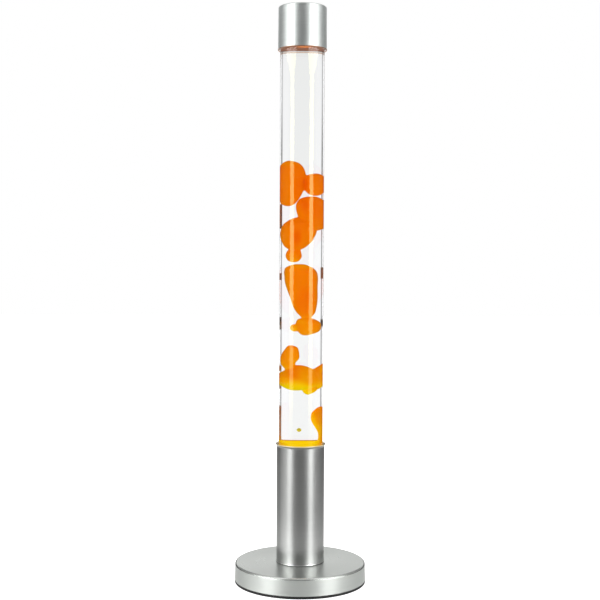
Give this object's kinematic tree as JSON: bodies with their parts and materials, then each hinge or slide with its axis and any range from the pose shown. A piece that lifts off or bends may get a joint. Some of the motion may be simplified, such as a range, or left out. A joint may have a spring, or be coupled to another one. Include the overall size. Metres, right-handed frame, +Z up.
{
  "type": "lava floor lamp",
  "caption": "Slender lit lava lamp: clear liquid-filled glass tube with orange wax, standing in a brushed metal sleeve on a round disc base, under a matching lift-off cap.",
  "frame": {"origin": "centre of the round footprint, on the floor", "axes": "+Z is up along the lamp's axis of symmetry, the front as pictured is -Y, and the cable inlet is at the rear, +Y"},
  "size_m": [0.174, 0.1759, 0.76],
  "materials": {
    "brushed_metal": "satin",
    "black_rubber": "matte",
    "black_steel": "matte",
    "cast_iron": "matte",
    "zinc_steel": "satin",
    "black_plastic": "matte",
    "brass": "satin",
    "reflector_metal": "polished",
    "ceramic": "matte",
    "silicone": "satin",
    "quartz": "polished",
    "tungsten": "satin",
    "clear_glass": "polished",
    "clear_liquid": "polished",
    "copper_metal": "satin",
    "wax_orange": "satin",
    "wax_yellow": "satin"
  },
  "bodies": {
    "base": {"base_shell": "brushed_metal", "foot_ring": "black_rubber", "bottom_plate": "black_steel", "base_weight": "cast_iron", "base_standoffs": "zinc_steel", "base_screws": "zinc_steel", "cable_gland": "black_plastic", "gland_nut": "black_plastic", "terminal_block": "black_plastic", "terminal_inserts": "brass", "terminal_screws": "zinc_steel", "terminal_fixing_screw": "zinc_steel", "sleeve": "brushed_metal", "sleeve_foot": "zinc_steel", "sleeve_screws": "zinc_steel", "lamp_bracket": "zinc_steel", "bracket_screws": "zinc_steel", "reflector": "reflector_metal", "lampholder": "ceramic", "lampholder_contacts": "brass", "lampholder_screws": "zinc_steel", "lead_left": "silicone", "lead_right": "silicone", "bottle_seat": "zinc_steel", "seat_cushion": "silicone"},
    "bulb": {"bulb_envelope": "quartz", "bulb_filament": "tungsten", "bulb_pins": "zinc_steel"},
    "bottle": {"glass_tube": "clear_glass", "wax_coil": "zinc_steel", "wax_pool": "wax_yellow", "clear_liquid": "clear_liquid", "closure_plug": "copper_metal", "closure_seal": "black_rubber"},
    "upper_wax": {"wax_upper": "wax_orange"},
    "middle_wax": {"wax_middle": "wax_orange"},
    "teardrop_wax": {"wax_teardrop": "wax_orange"},
    "lower_wax": {"wax_lower": "wax_orange"},
    "droplet": {"wax_droplet": "wax_yellow"},
    "cap": {"top_cap": "brushed_metal", "cap_liner": "black_plastic"}
  },
  "joints": [
    {"name": "bottle_lift", "type": "slide", "parent": "base", "child": "bottle", "axis": [0, 0, 1], "range_m": [0, 0.06]},
    {"name": "cap_lift", "type": "slide", "parent": "bottle", "child": "cap", "axis": [0, 0, 1], "range_m": [0, 0.055]},
    {"name": "bulb_pull", "type": "slide", "parent": "base", "child": "bulb", "axis": [0, 0, 1], "range_m": [0, 0.008]},
    {"name": "wax_rise", "type": "slide", "parent": "bottle", "child": "upper_wax", "axis": [0, 0, 1], "range_m": [0, 0.09], "deforming": ["clear_liquid"]},
    {"name": "middle_wax_rise", "type": "slide", "parent": "bottle", "child": "middle_wax", "axis": [0, 0, 1], "range_m": [0, 0.0675], "deforming": ["clear_liquid"]},
    {"name": "teardrop_rise", "type": "slide", "parent": "bottle", "child": "teardrop_wax", "axis": [0, 0, 1], "range_m": [0, 0.045], "deforming": ["clear_liquid"]},
    {"name": "lower_wax_rise", "type": "slide", "parent": "bottle", "child": "lower_wax", "axis": [0, 0, 1], "range_m": [0, 0.0225], "deforming": ["clear_liquid"]},
    {"name": "droplet_rise", "type": "slide", "parent": "bottle", "child": "droplet", "axis": [0, 0, 1], "range_m": [0, 0.036], "deforming": ["clear_liquid"]}
  ],
  "couplings": [
    {"joint": "middle_wax_rise", "follows": "wax_rise", "ratio": 0.75},
    {"joint": "teardrop_rise", "follows": "wax_rise", "ratio": 0.5},
    {"joint": "lower_wax_rise", "follows": "wax_rise", "ratio": 0.25},
    {"joint": "droplet_rise", "follows": "wax_rise", "ratio": 0.4}
  ]
}
